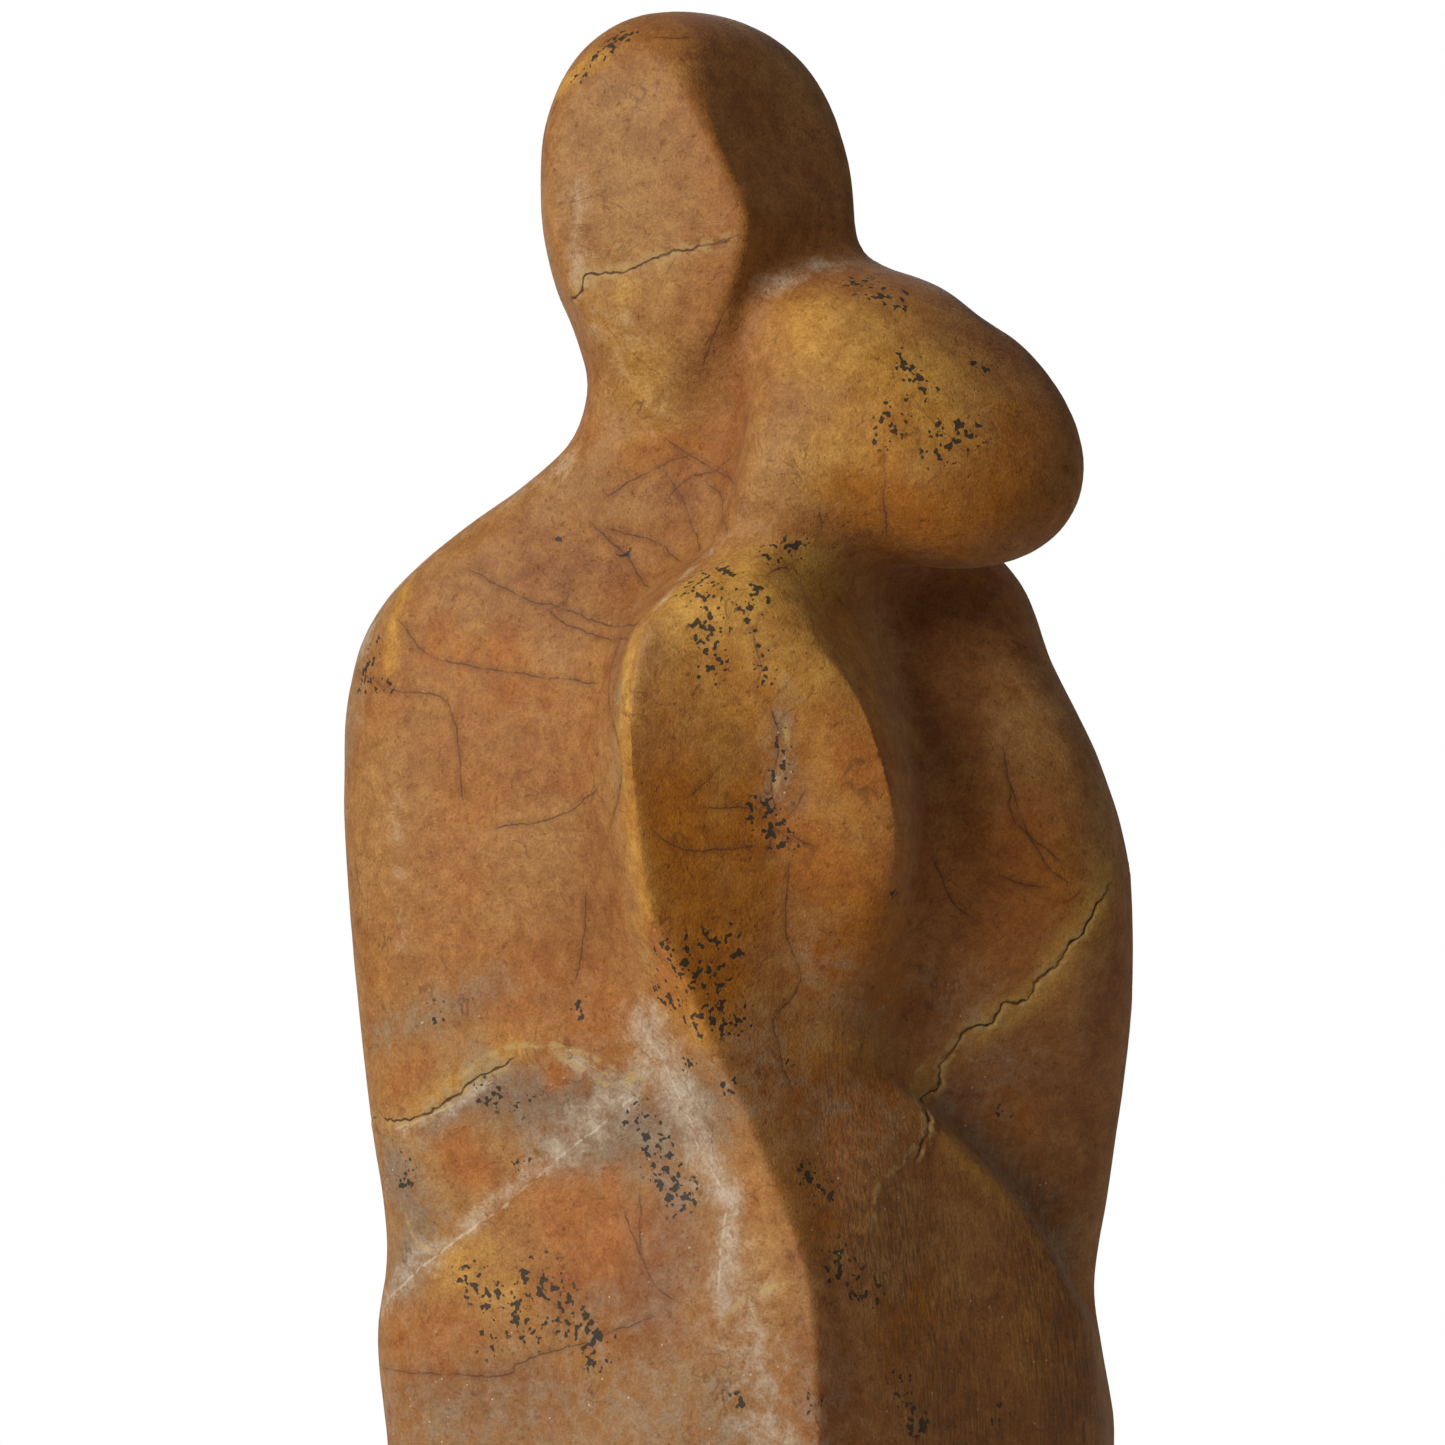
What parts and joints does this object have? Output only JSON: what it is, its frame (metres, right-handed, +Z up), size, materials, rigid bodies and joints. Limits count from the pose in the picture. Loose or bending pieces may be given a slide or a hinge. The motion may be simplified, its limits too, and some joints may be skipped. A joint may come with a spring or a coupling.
{
  "type": "mother and child statue",
  "caption": "Tabletop stone carving of a tall blank-faced figure with a smaller figure leaning on its neck, cut from one block with a low base.",
  "frame": {"origin": "on the flat underside of the low base, under the middle of the joined bodies", "axes": "+Z up, front faces -Y, +X to the viewer's right, where the smaller figure's head is"},
  "size_m": [0.198, 0.1334, 0.4812],
  "materials": {
    "stone": "satin hand-rubbed orange-brown stone with dark dendritic marks, pale worn veins and a few open cracks"
  },
  "bodies": {
    "root": {"mother_and_child_figure": "stone"}
  },
  "joints": []
}
